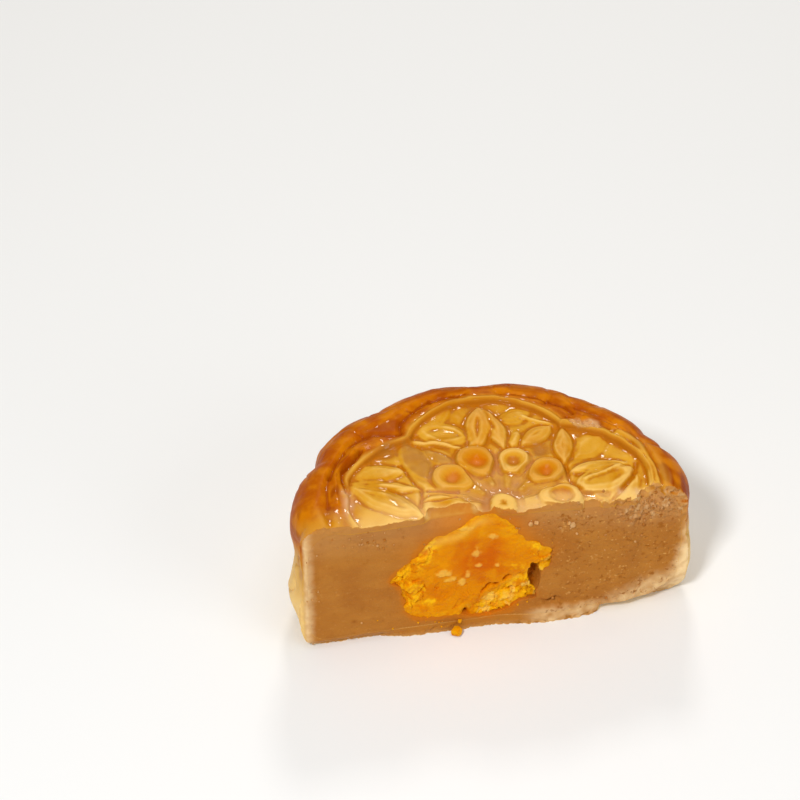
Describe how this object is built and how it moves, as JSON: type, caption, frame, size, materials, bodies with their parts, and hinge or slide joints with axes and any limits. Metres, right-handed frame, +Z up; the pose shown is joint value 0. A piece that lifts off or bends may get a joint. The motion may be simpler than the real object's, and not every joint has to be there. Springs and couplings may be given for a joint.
{
  "type": "lotus seed mooncake half",
  "caption": "Round moulded mooncake cut upright through its middle: a lobed baked skin with a pressed flower on top, lotus seed paste inside and a salted egg yolk in the paste.",
  "frame": {"origin": "middle of the half cake's footprint, on the flat underside", "axes": "+Z up, +X along the cut from its left end to its right end, and -Y the way the cut face looks"},
  "size_m": [0.0783, 0.0418, 0.0326],
  "materials": {
    "pastry_skin": "baked golden-brown dough with a glossy egg glaze on top",
    "lotus_paste": "smooth tan lotus seed paste, matt and slightly grainy where it is cut",
    "egg_yolk": "oily orange yolk, crumbly and yellow at its edges"
  },
  "bodies": {
    "root": {"pastry_skin": "pastry_skin", "lotus_paste": "lotus_paste", "egg_yolk": "egg_yolk"}
  },
  "joints": []
}
